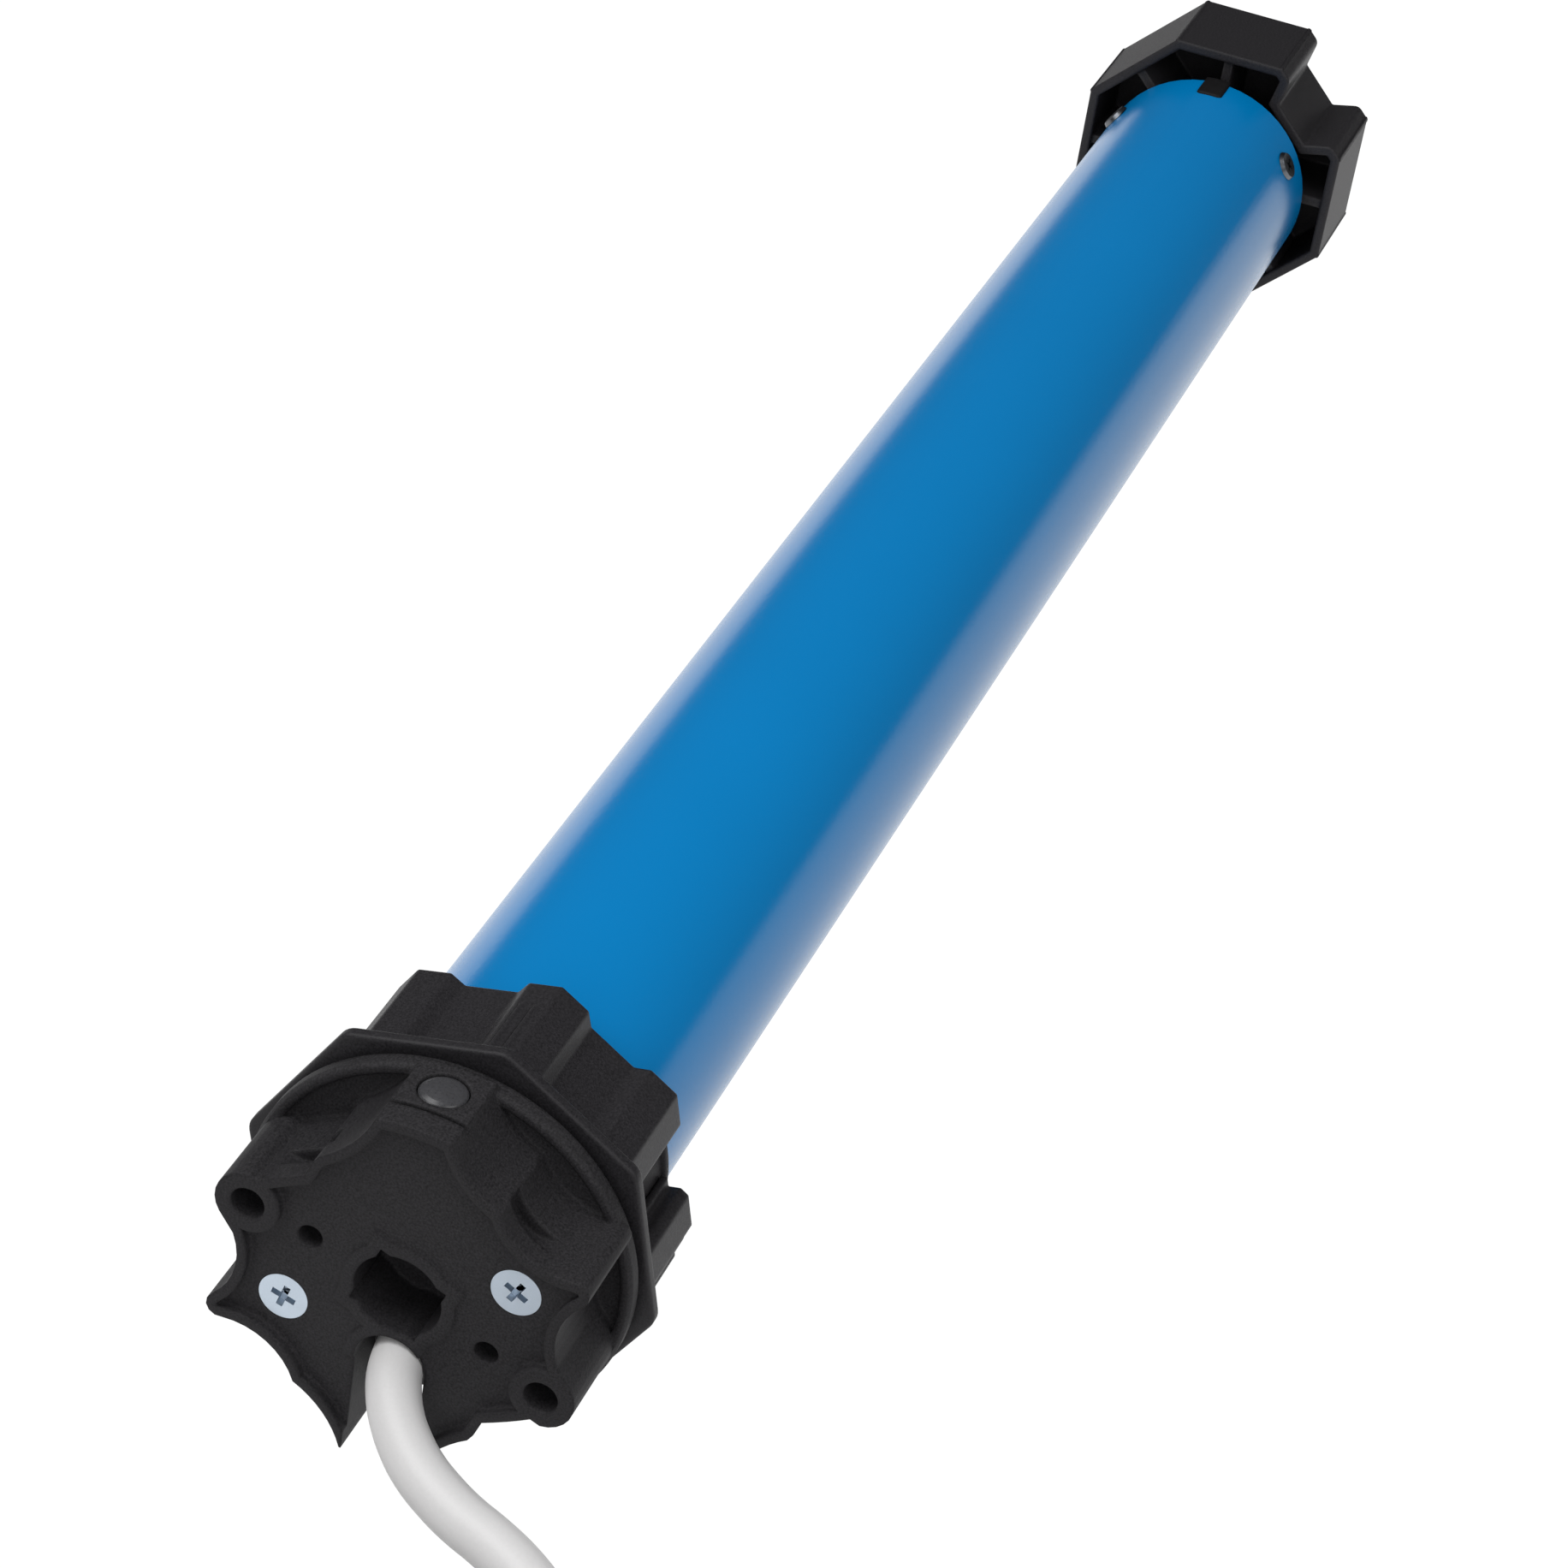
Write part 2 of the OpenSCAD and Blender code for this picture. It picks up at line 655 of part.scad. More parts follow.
module tube() {
    color([0.0, 0.36, 0.66]) difference() {
        lathe() polygon([[tube_in_r, tube_x0], [tube_r, tube_x0], [tube_r, tube_x1],
            [tube_in_r, tube_x1]]);
        rotate([key_angle, 0, 0]) translate([0, 0, 15]) linear_extrude(15)
            key_shape(slide_fit);
        for (a = tube_screw_angles) rotate([a, 0, 0]) translate([tube_screw_x, 0, 15])
            cylinder(h = 20, r = tube_screw_r + 0.1 + slide_fit);
    }
}

module tube_screws() {
    color([0.2, 0.2, 0.21]) for (a = tube_screw_angles) rotate([a, 0, 0])
        translate([tube_screw_x, 0, 0]) difference() {
            union() {
                translate([0, 0, plug_r - 6])
                    cylinder(h = tube_r + 0.3 - plug_r + 6, r = tube_screw_r);
                translate([0, 0, tube_r + slide_fit])
                    cylinder(h = 0.8, r1 = tube_screw_r + 1.1, r2 = tube_screw_r + 0.7);
            }
            for (turn = [30, 120]) rotate(turn) translate([-1.5, -0.35, tube_r + 0.25])
                cube([3, 0.7, 2]);
        }
}

// Electronics

tray_wall = 1.6;
board_t = 1.6;
board_z = -2.6;
board_half = plug_r - tray_wall - 1.65;

module board_tray() {
    rail = [3.2, 1.8];
    color([0.2, 0.22, 0.24]) slab(board_x0, board_x0 + board_len) {
        difference() {
            circle(plug_r);
            circle(plug_r - tray_wall);
            translate([-tube_d, board_z + board_t]) square([2 * tube_d, tube_d]);
        }
        for (s = [-1, 1]) translate([s * (board_half - 0.2) - rail.x / 2, board_z - rail.y])
            square(rail);
    }
}

module control_board() {
    color([0.1, 0.4, 0.2]) translate([board_x0 + 1, -board_half, board_z])
        cube([board_len - 2, 2 * board_half, board_t]);
}

module relays() {
    color([0.15, 0.2, 0.5]) for (s = [-1, 1]) translate([board_x0 + 34, s * 7 - 5, board_z + board_t])
        cube([19, 10, 12]);
}

module power_module() {
    color([0.1, 0.1, 0.1]) translate([board_x0 + 56, -9, board_z + board_t])
        cube([13, 18, 13]);
}

module terminal_block() {
    color([0.2, 0.5, 0.3]) difference() {
        translate([board_x0 + 4, -12, board_z + board_t]) cube([10, 24, 9]);
        for (i = [-1.5:1:1.5]) translate([board_x0 + 3, i * 5.6, 2.6]) rotate([0, 90, 0])
            cylinder(h = 8, r = 1.6);
    }
}

module run_capacitor() {
    color([0.85, 0.85, 0.82]) lathe() polygon([[0, capacitor_x0],
        [capacitor_r - 1, capacitor_x0], [capacitor_r, capacitor_x0 + 1],
        [capacitor_r, capacitor_x0 + capacitor_len - 1],
        [capacitor_r - 1, capacitor_x0 + capacitor_len],
        [0, capacitor_x0 + capacitor_len]]);
}

module capacitor_rings() {
    w = capacitor_ring_w;
    color([0.2, 0.2, 0.2]) for (x = [capacitor_x0 + 4, capacitor_x0 + capacitor_len - 4 - w])
        difference() {
            bar(x, x + w, plug_r);
            bar(x - 1, x + w + 1, capacitor_r + slide_fit);
        }
}

// Motor

// A round end cover with a bearing seat open towards the stator
module end_cover(x0, seat_x0) {
    difference() {
        bar(x0, x0 + cap_t, plug_r);
        bar(seat_x0, seat_x0 + bearing_w + 0.1, bearing_r + slide_fit / 2);
        bar(x0 - 1, x0 + cap_t + 1, rotor_shaft_r + 0.5);
    }
}

module motor_front_cover() {
    color([0.6, 0.62, 0.64]) end_cover(front_cover_x0, front_cover_x0 + cap_t - bearing_w);
}

module motor_rear_cover() {
    color([0.6, 0.62, 0.64]) end_cover(rear_cover_x0, rear_cover_x0 - 0.1);
}

module rotor_bearings() {
    color([0.7, 0.72, 0.75]) for (x = [front_cover_x0 + cap_t - bearing_w, rear_cover_x0])
        lathe() polygon([[rotor_shaft_r + 0.02, x], [4.6, x], [4.6, x + 0.3], [6.6, x + 0.3],
            [6.6, x], [bearing_r, x], [bearing_r, x + bearing_w],
            [rotor_shaft_r + 0.02, x + bearing_w]]);
}

slot_count = 12;
slot_half = 1.7;
slot_in = rotor_r + 1.8;
slot_out = plug_r - 2;

module stator_core() {
    color([0.45, 0.46, 0.48]) slab(stator_x0, stator_x1) difference() {
        circle(plug_r);
        circle(rotor_r + 0.4);
        for (i = [0:slot_count - 1]) rotate(i * 360 / slot_count) {
            translate([-slot_half, slot_in]) square([2 * slot_half, slot_out - slot_in]);
            translate([-0.8, rotor_r]) square([1.6, 3]);
        }
    }
}

module stator_windings() {
    end_t = 4.4;
    color([0.72, 0.42, 0.2]) {
        for (x = [stator_x0 - end_t - air, stator_x1 + air]) difference() {
            bar(x, x + end_t, slot_out - 0.2);
            bar(x - 1, x + end_t + 1, slot_in + 0.2);
        }
        for (i = [0:slot_count - 1]) rotate([i * 360 / slot_count, 0, 0])
            translate([stator_x0 - end_t, -slot_half + 0.2, slot_in + 0.4])
            cube([stator_x1 - stator_x0 + 2 * end_t, 2 * slot_half - 0.4,
                slot_out - slot_in - 0.8]);
    }
}

module rotor_core() {
    color([0.55, 0.56, 0.58]) difference() {
        bar(stator_x0 - 1, stator_x1 + 1, rotor_r);
        bar(stator_x0 - 2, stator_x1 + 2, rotor_shaft_r + 0.01);
    }
}

module rotor_shaft() {
    color([0.75, 0.76, 0.78]) {
        bar(front_cover_x0 + 1, planet_x0(1) - 1, rotor_shaft_r);
        sun(planet_x0(1) - 1.5, planet_x1(1));
    }
}

module brake_disc() {
    color([0.4, 0.38, 0.36]) difference() {
        union() {
            bar(brake_x0, brake_x0 + brake_disc_t, 15);
            bar(brake_x0 - 5, brake_x0 + 1, 6);
        }
        bar(brake_x0 - 6, brake_x0 + 6, rotor_shaft_r + 0.01);
    }
}

module brake_plate() {
    color([0.5, 0.5, 0.52]) difference() {
        bar(brake_plate_x0, brake_plate_x0 + brake_plate_t, plug_r);
        bar(brake_plate_x0 - 1, brake_plate_x0 + brake_plate_t + 1, 8);
    }
}

module brake_spring() {
    x0 = brake_plate_x0 + brake_plate_t + 1.1;
    color([0.7, 0.7, 0.72]) rotate([0, 90, 0]) spring(x0, cover_x0 - 1.1, 11, 0.9, 5, 10, 6);
}

// Gearbox

// A sun gear from x0 to x1
module sun(x0, x1) {
    slab(x0, x1) polygon(gear(sun_teeth, sun_pitch_r, sun_pitch_r - dedendum * gear_module,
        sun_pitch_r + addendum * gear_module, -backlash / 2));
}

module gearbox_cover() {
    color([0.55, 0.57, 0.6]) difference() {
        bar(cover_x0, ring_x0, plug_r);
        bar(cover_x0 - 1, ring_x0 + 1, rotor_shaft_r + 0.6);
    }
}

module gearbox_ring() {
    color([0.6, 0.62, 0.65]) slab(ring_x0, plug_x0) difference() {
        circle(plug_r);
        polygon(gear(ring_teeth, ring_pitch_r, ring_pitch_r - addendum * gear_module,
            ring_pitch_r + dedendum * gear_module, backlash / 2));
    }
}

// Planet k of stage i, with a tooth that points straight outwards
module planet(i, k) {
    color([0.82, 0.78, 0.66]) rotate([120 * k, 0, 0]) translate([0, 0, planet_at])
        difference() {
            slab(planet_x0(i), planet_x1(i)) polygon(gear(planet_teeth, planet_pitch_r,
                planet_pitch_r - dedendum * gear_module,
                planet_pitch_r + addendum * gear_module, -backlash / 2));
            bar(planet_x0(i) - 1, planet_x1(i) + 1, pin_r + slide_fit);
        }
}

module planet_1a() planet(1, 0);
module planet_1b() planet(1, 1);
module planet_1c() planet(1, 2);
module planet_2a() planet(2, 0);
module planet_2b() planet(2, 1);
module planet_2c() planet(2, 2);
module planet_3a() planet(3, 0);
module planet_3b() planet(3, 1);
module planet_3c() planet(3, 2);

// A disc with three pins that carry the planets of stage i
module carrier(i) {
    bar(disc_x0(i), disc_x1(i), carrier_r);
    for (k = [0:2]) polar(120 * k, planet_at) bar(planet_x0(i) - 0.3, disc_x0(i) + 1, pin_r);
}

module carrier_1() {
    color([0.66, 0.67, 0.7]) {
        carrier(1);
        sun(disc_x1(1) - 1, planet_x1(2));
    }
}

module carrier_2() {
    color([0.66, 0.67, 0.7]) {
        carrier(2);
        sun(disc_x1(2) - 1, planet_x1(3));
    }
}

module output_shaft() {
    shaft_x1 = total_len - wheel_recess;
    flat_x0 = tube_x1 + plug_lip + air;
    color([0.72, 0.73, 0.76]) difference() {
        union() {
            carrier(3);
            bar(disc_x1(3) - 1, shaft_x1, shaft_d / 2);
        }
        translate([flat_x0, -10, shaft_flat]) cube([wheel_t + 10, 20, 10]);
        bar(shaft_x1 - 14, shaft_x1 + 1, wheel_screw_r + slide_fit);
    }
}

module output_bush() {
    color([0.76, 0.6, 0.3]) difference() {
        bar(plug_x0, tube_x1 + plug_lip, bush_r);
        bar(plug_x0 - 1, tube_x1 + plug_lip + 1, shaft_d / 2 + slide_fit);
    }
}

module end_plug() {
    color([0.12, 0.12, 0.13]) difference() {
        union() {
            bar(plug_x0, tube_x1 + plug_lip, plug_r);
            intersection() {
                rotate([key_angle, 0, 0]) translate([0, 0, plug_r - 3]) linear_extrude(10)
                    key_shape(0);
                bar(plug_x0, tube_x1 + plug_lip, tube_r + 0.4);
            }
        }
        bar(plug_x0 - 1, tube_x1 + plug_lip + 1, bush_r + slide_fit);
        for (a = tube_screw_angles) rotate([a, 0, 0]) translate([tube_screw_x, 0, plug_r - 7])
            cylinder(h = 20, r = tube_screw_r + slide_fit);
    }
}

// Drive wheel

wheel_h = wheel_af / 2;
groove_side = 1;
groove_mouth = 8.3;
groove_half = 5.2;
lip_round = 1.8;
corner_cut = 0.8;
bead_half = 0.45;
bead_rise = 0.4;

// One side of the wheel as (along, out) points; one side has the seam's groove
groove_lean = atan2(wheel_h - groove_floor, groove_mouth - groove_half);
lip_mid = [groove_mouth + lip_round * tan(groove_lean / 2), wheel_h - lip_round];
round_lip = [for (k = [0:4]) let (a = 90 + groove_lean * k / 4)
    lip_mid + lip_round * [cos(a), sin(a)]];
function groove(lip) = concat([for (p = lip) [-p.x, p.y]],
    [[-groove_half, groove_floor], [groove_half, groove_floor]],
    [for (k = [len(lip) - 1:-1:0]) lip[k]]);
function wheel_side(i, corner, lip) =
    let (a = 45 * i, half = wheel_h * tan(22.5) - corner)
    [for (p = i == groove_side ? [[-half, wheel_h], each groove(lip), [half, wheel_h]]
        : [[-half, wheel_h], [half, wheel_h]])
        p.x * side(a) + p.y * dir(a)];

// A small bead on the corner after side i
function corner_bead(i) =
    let (a = 45 * i - 22.5, half = wheel_h * tan(22.5) - corner_cut,
        r = half * sin(22.5) + wheel_h * cos(22.5))
    [for (p = [[-bead_half, r], [-bead_half, r + bead_rise],
        [bead_half, r + bead_rise], [bead_half, r]])
        p.x * side(a) + p.y * dir(a)];
function backwards(p) = [for (k = [len(p) - 1:-1:0]) p[k]];
function without_last(p) = [for (k = [0:len(p) - 2]) p[k]];
wheel_outline = backwards([for (i = [0:7])
    each concat(wheel_side(i, corner_cut, round_lip), corner_bead(i + 1))]);
wheel_plain = backwards([for (i = [0:7]) each without_last(wheel_side(i, 0, [[groove_mouth, wheel_h]]))]);

module drive_wheel() {
    hub_x1 = total_len - wheel_recess;
    color([0.13, 0.13, 0.14]) difference() {
        union() {
            slab(wheel_x0, total_len) difference() {
                polygon(wheel_outline);
                polygon(inset(wheel_plain, wheel_wall));
            }
            slab(hub_x1 - wheel_wall, hub_x1) polygon(inset(wheel_plain, wheel_wall / 2));
            slab(wheel_x0 + 1, hub_x1) intersection() {
                for (i = [0:7]) rotate(45 * i) translate([-wheel_wall / 2, 0])
                    square([wheel_wall, wheel_h]);
                polygon(inset(wheel_plain, wheel_wall / 2));
            }
            bar(wheel_x0 + 0.4, hub_x1, hub_r);
        }
        difference() {
            bar(wheel_x0 - 1, hub_x1 + 1, shaft_d / 2 + slide_fit);
            translate([wheel_x0 - 2, -10, shaft_flat + slide_fit]) cube([wheel_t, 20, 10]);
        }
    }
}

module wheel_washer() {
    x0 = total_len - wheel_recess;
    color([0.78, 0.82, 0.86]) difference() {
        bar(x0, x0 + 1.2, hub_r - 1);
        bar(x0 - 1, x0 + 2, wheel_screw_r + 0.2);
    }
}

module wheel_screw() {
    x0 = total_len - wheel_recess + 1.2;
    color([0.78, 0.82, 0.86]) difference() {
        union() {
            bar(x0 - 14, x0 + 0.5, wheel_screw_r);
            bar(x0, x0 + 2.4, 4.6, 4);
        }
        for (turn = [0, 90]) rotate([turn, 0, 0]) translate([x0 + 1.2, -2.4, -0.5])
            cube([2, 4.8, 1]);
    }
}

// Cable

// Unit vector along the path at point i
function tangent(p, i) =
    let (n = len(p), d = p[min(i + 1, n - 1)] - p[max(i - 1, 0)])
    d / norm(d);

// A round tube swept along a path that never runs straight up
module sweep(path, r, sides) {
    n = len(path);
    points = [for (i = [0:n - 1])
        let (t = tangent(path, i), u = cross(t, [0, 0, 1]), e = u / norm(u), f = cross(e, t))
        for (k = [0:sides - 1])
            path[i] + r * (cos(360 * k / sides) * e + sin(360 * k / sides) * f)];
    polyhedron(points, tube_faces(n - 1, sides), convexity = 12);
}

// Radius of the coil after t turns: steady in and out, one way for each layer
function layer_part(t) = t / layer_turns - floor(t / layer_turns);
function layer_at(t) = floor(t / layer_turns);
function coil_radius(t) = coil_r - coil_pitch * layer_turns
    * (layer_at(t) % 2 == 0 ? layer_part(t) : 1 - layer_part(t));

// Height after t turns: a layer up in the half turn round each reversal
function coil_height(t) = coil_pitch * (
    let (n = max(0, min(coil_layers - 1, round(t / layer_turns))))
    n == 0 ? 0 : n - 1 + max(0, min(1, 0.5 + 2 * (t - n * layer_turns))));

// Each turn is a run away from the head, a half circle, a run back and a half circle
function coil_point(t) =
    let (r = coil_radius(t), mean_r = coil_r - coil_pitch * layer_turns / 2,
        run_part = coil_run / (2 * coil_run + 2 * PI * mean_r),
        out = t - floor(t) < 0.5, half = t - floor(t) - (out ? 0 : 0.5),
        along = coil_run * min(half / run_part, 1),
        a = 180 * max(half - run_part, 0) / (0.5 - run_part), way = out ? 1 : -1)
    [coil_x - (out ? along : coil_run - along) - way * r * sin(a),
        coil_y - way * r * cos(a), coil_z + coil_height(t)];

coil_turns = coil_layers * layer_turns;
coil_steps = coil_turns * coil_rings;
coil_end = coil_point(coil_turns - 0.0001);
coil_path = concat(
    [[coil_x + cable_d, coil_y - coil_r, coil_z]],
    [for (i = [0:coil_steps - 1]) coil_point(i / coil_rings)],
    [coil_end, coil_end + [cable_d, 0, 0]]);

// Least distance between two points of the coil a third of a turn or more apart
function coil_gap(p) = min([for (i = [0:len(p) - 1])
    for (j = [i + floor(coil_rings / 3):1:len(p) - 1]) norm(p[i] - p[j])]) - cable_d;

module cable() {
    color([0.93, 0.94, 0.95]) sweep(cable_points, cable_r, 10);
}

module cable_coil() {
    echo(least_gap_of_the_coil = coil_gap(coil_path));
    color([0.93, 0.94, 0.95]) sweep(coil_path, cable_r, 6);
}

// Two flat bands, one round each run of the coil
module coil_tie() {
    in_r = coil_r - coil_pitch * layer_turns - cable_r - tie_gap;
    out_r = coil_r + cable_r + tie_gap;
    low = coil_z - cable_r - tie_gap;
    high = coil_z + (coil_layers - 1) * coil_pitch + cable_r + tie_gap;
    x = coil_x - coil_run / 2;
    color([0.15, 0.15, 0.16]) for (s = [-1, 1])
        slab(x - tie_w / 2, x + tie_w / 2) translate([coil_y, 0]) scale([s, 1])
        difference() {
            translate([in_r - tie_t, low - tie_t])
                square([out_r - in_r + 2 * tie_t, high - low + 2 * tie_t]);
            translate([in_r, low]) square([out_r - in_r, high - low]);
        }
}

core_spots = [[-1.4, -1.4], [1.4, -1.4], [1.4, 1.4], [-1.4, 1.4]];
ferrule_len = 10;

module cable_cores() {
    colours = [[0.35, 0.2, 0.1], [0.05, 0.05, 0.05], [0.1, 0.3, 0.7], [0.5, 0.65, 0.1]];
    for (k = [0:3]) color(colours[k])
        translate(coil_end + [cable_d, core_spots[k].x, core_spots[k].y])
        bar(0, core_len - ferrule_len, core_d / 2);
}

module core_ferrules() {
    color([0.8, 0.8, 0.8]) for (s = core_spots)
        translate(coil_end + [cable_d + core_len - ferrule_len, s.x, s.y]) {
            bar(0, ferrule_len, core_d / 2 - 0.4);
            bar(0, 3, core_d / 2 + 0.1);
        }
}

star_head();
bearing_sleeve();
head_screws();
cable_gland();
inner_lead();
setting_button();
button_spring();
button_switch();
limit_gear();
limit_magnet();
limit_pin();
crown_ring();
tube();
tube_screws();
board_tray();
control_board();
relays();
power_module();
terminal_block();
run_capacitor();
capacitor_rings();
motor_front_cover();
motor_rear_cover();
stator_core();
stator_windings();
rotor_core();
rotor_shaft();
rotor_bearings();
brake_disc();
brake_plate();
brake_spring();
gearbox_cover();
gearbox_ring();
planet_1a();
planet_1b();
planet_1c();
carrier_1();
planet_2a();
planet_2b();
planet_2c();
carrier_2();
planet_3a();
planet_3b();
planet_3c();
output_shaft();
output_bush();
end_plug();
drive_wheel();
wheel_washer();
wheel_screw();
cable();
cable_coil();
coil_tie();
cable_cores();
core_ferrules();
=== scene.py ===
# Tubular roller blind motor, dressed and lit. Metres, in the part's own frame:
# the origin is on the motor axis in the plane of the head's rim, +X to the drive wheel.
import math
import bmesh
import bpy
from mathutils import Matrix, Vector


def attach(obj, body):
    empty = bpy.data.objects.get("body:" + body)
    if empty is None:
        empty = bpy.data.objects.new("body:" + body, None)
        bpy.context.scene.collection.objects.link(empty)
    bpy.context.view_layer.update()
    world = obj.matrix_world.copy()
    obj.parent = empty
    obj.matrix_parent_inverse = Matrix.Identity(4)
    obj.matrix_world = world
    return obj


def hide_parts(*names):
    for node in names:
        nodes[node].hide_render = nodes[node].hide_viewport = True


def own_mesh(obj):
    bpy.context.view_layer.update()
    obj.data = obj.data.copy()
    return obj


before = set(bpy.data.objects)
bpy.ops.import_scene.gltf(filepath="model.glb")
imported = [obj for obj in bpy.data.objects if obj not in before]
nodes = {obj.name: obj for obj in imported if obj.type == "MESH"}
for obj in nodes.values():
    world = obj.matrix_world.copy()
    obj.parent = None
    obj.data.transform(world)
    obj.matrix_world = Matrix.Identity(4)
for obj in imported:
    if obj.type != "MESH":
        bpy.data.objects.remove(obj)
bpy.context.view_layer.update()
MM = 0.001


def place_in_scene(name, data):
    obj = bpy.data.objects.new(name, data)
    bpy.context.scene.collection.objects.link(obj)
    return obj


# Camera, fitted to the photograph

CAMERA_LENS = 104.684
CAMERA_SENSOR = 36.0
CAMERA_NEAR = 0.05
CAMERA_FAR = 20.0
CAMERA_AT = Vector((-0.4615, -0.16651, 0.41936))
CAMERA_RIGHT = Vector((0.34317, -0.92889, 0.13929))
CAMERA_UP = Vector((0.48193, 0.30142, 0.82273))
CAMERA_BACK = Vector((-0.80621, -0.21521, 0.5511))


def make_camera():
    data = bpy.data.cameras.new("camera")
    data.lens = CAMERA_LENS
    data.sensor_width = CAMERA_SENSOR
    data.clip_start = CAMERA_NEAR
    data.clip_end = CAMERA_FAR
    cam = place_in_scene("camera", data)
    pose = Matrix((CAMERA_RIGHT, CAMERA_UP, CAMERA_BACK)).transposed().to_4x4()
    pose.translation = CAMERA_AT
    cam.matrix_world = pose
    bpy.context.scene.camera = cam


make_camera()


# Shader helpers. The owner of the nodes is a material or the world

# Noise seldom leaves this range of its 0 to 1
NOISE_LOW = 0.3
NOISE_HIGH = 0.7
GRAIN_DETAIL = 3.0
GRAIN_ROUGHNESS = 0.6


def add(owner, kind, **values):
    node = owner.node_tree.nodes.new("ShaderNode" + kind)
    for key, value in values.items():
        setattr(node, key, value)
    return node


def join(owner, source, out, target, into):
    owner.node_tree.links.new(source.outputs[out], target.inputs[into])


def shader_of(mat):
    return mat.node_tree.nodes["Principled BSDF"]


def material(name, colour, rough, metallic=0.0):
    mat = bpy.data.materials.new(name)
    mat.use_nodes = True
    shader = shader_of(mat)
    shader.inputs["Base Color"].default_value = (*colour, 1.0)
    shader.inputs["Roughness"].default_value = rough
    shader.inputs["Metallic"].default_value = metallic
    return mat


def coordinates(mat, stretch=(1.0, 1.0, 1.0)):
    coords = add(mat, "TexCoord")
    mapping = add(mat, "Mapping")
    mapping.inputs["Scale"].default_value = stretch
    join(mat, coords, "Object", mapping, "Vector")
    return mapping


def noise(mat, where, size, detail=2.0, roughness=0.5):
    node = add(mat, "TexNoise")
    node.inputs["Scale"].default_value = 1.0 / size
    node.inputs["Detail"].default_value = detail
    node.inputs["Roughness"].default_value = roughness
    join(mat, where, "Vector", node, "Vector")
    return node


def spread(owner, source, out, low, high, to_low, to_high):
    node = add(owner, "MapRange")
    node.inputs["From Min"].default_value = low
    node.inputs["From Max"].default_value = high
    node.inputs["To Min"].default_value = to_low
    node.inputs["To Max"].default_value = to_high
    join(owner, source, out, node, "Value")
    return node


def grain_noise(mat, where, size):
    return noise(mat, where, size, GRAIN_DETAIL, GRAIN_ROUGHNESS)


def scaled(colour, k):
    return tuple(c * k for c in colour)


def vary_colour(mat, factor, dark, light, low=0.0, high=1.0):
    ramp = add(mat, "ValToRGB")
    first, last = ramp.color_ramp.elements
    first.color = (*dark, 1.0)
    first.position = low
    last.color = (*light, 1.0)
    last.position = high
    join(mat, factor, "Fac", ramp, "Fac")
    join(mat, ramp, "Color", shader_of(mat), "Base Color")


def vary_gloss(mat, factor, smooth, dull):
    gloss = spread(mat, factor, "Fac", NOISE_LOW, NOISE_HIGH, smooth, dull)
    join(mat, gloss, "Result", shader_of(mat), "Roughness")


def bump(mat, height, depth, below=None):
    node = add(mat, "Bump")
    node.inputs["Distance"].default_value = depth
    node.inputs["Strength"].default_value = 1.0
    join(mat, height, "Fac", node, "Height")
    if below is not None:
        join(mat, below, "Normal", node, "Normal")
    join(mat, node, "Normal", shader_of(mat), "Normal")
    return node


def soft_edges(mat, radius):
    if radius == 0.0:
        return None
    node = add(mat, "Bevel", samples=8)
    node.inputs["Radius"].default_value = radius
    return node


# Moulded plastic: fine grain in colour, gloss and relief, and shading rounded at the edges

MOULDED_GLOSS = 0.07


def moulded(name, colour, rough, grain, depth, vary=0.15, shine=0.5, soft=0.0):
    mat = material(name, colour, rough)
    shader_of(mat).inputs["Specular IOR Level"].default_value = shine
    fine = grain_noise(mat, coordinates(mat), grain)
    vary_colour(mat, fine, scaled(colour, 1 - vary), scaled(colour, 1 + vary),
                NOISE_LOW, NOISE_HIGH)
    vary_gloss(mat, fine, rough - MOULDED_GLOSS, rough + MOULDED_GLOSS)
    bump(mat, fine, depth, soft_edges(mat, soft))
    return mat


# Metal: brushed, turned or cast, with a grain that can run along one way

METAL_CLOUDS = 6 * MM
METAL_DARK = 0.88
METAL_LIGHT = 1.08
METAL_SMOOTHER = 0.08
METAL_DULLER = 0.1


def metal(name, colour, rough, grain, depth, stretch=(1.0, 1.0, 1.0)):
    mat = material(name, colour, rough, 1.0)
    where = coordinates(mat, stretch)
    fine = grain_noise(mat, where, grain)
    clouds = noise(mat, where, METAL_CLOUDS)
    vary_colour(mat, clouds, scaled(colour, METAL_DARK), scaled(colour, METAL_LIGHT))
    vary_gloss(mat, fine, rough - METAL_SMOOTHER, rough + METAL_DULLER)
    bump(mat, fine, depth)
    return mat


# Powder coat: orange peel with a finer grain on it

COAT_ROUGH = 0.21
COAT_SMOOTH = 0.17
COAT_DULL = 0.25
COAT_SHINE = 0.25
COAT_PEEL = 1.1 * MM
COAT_PEEL_DEPTH = 0.012 * MM
COAT_GRAIN = 0.3 * MM
COAT_GRAIN_DEPTH = 0.004 * MM
COAT_CLOUDS = 40 * MM
COAT_DARK = 0.97
COAT_LIGHT = 1.03


def powder_coat(name, colour):
    mat = material(name, colour, COAT_ROUGH)
    shader_of(mat).inputs["Specular IOR Level"].default_value = COAT_SHINE
    where = coordinates(mat)
    peel = noise(mat, where, COAT_PEEL, detail=1.0)
    fine = noise(mat, where, COAT_GRAIN)
    clouds = noise(mat, where, COAT_CLOUDS)
    vary_colour(mat, clouds, scaled(colour, COAT_DARK), scaled(colour, COAT_LIGHT))
    vary_gloss(mat, fine, COAT_SMOOTH, COAT_DULL)
    bump(mat, fine, COAT_GRAIN_DEPTH, bump(mat, peel, COAT_PEEL_DEPTH))
    return mat


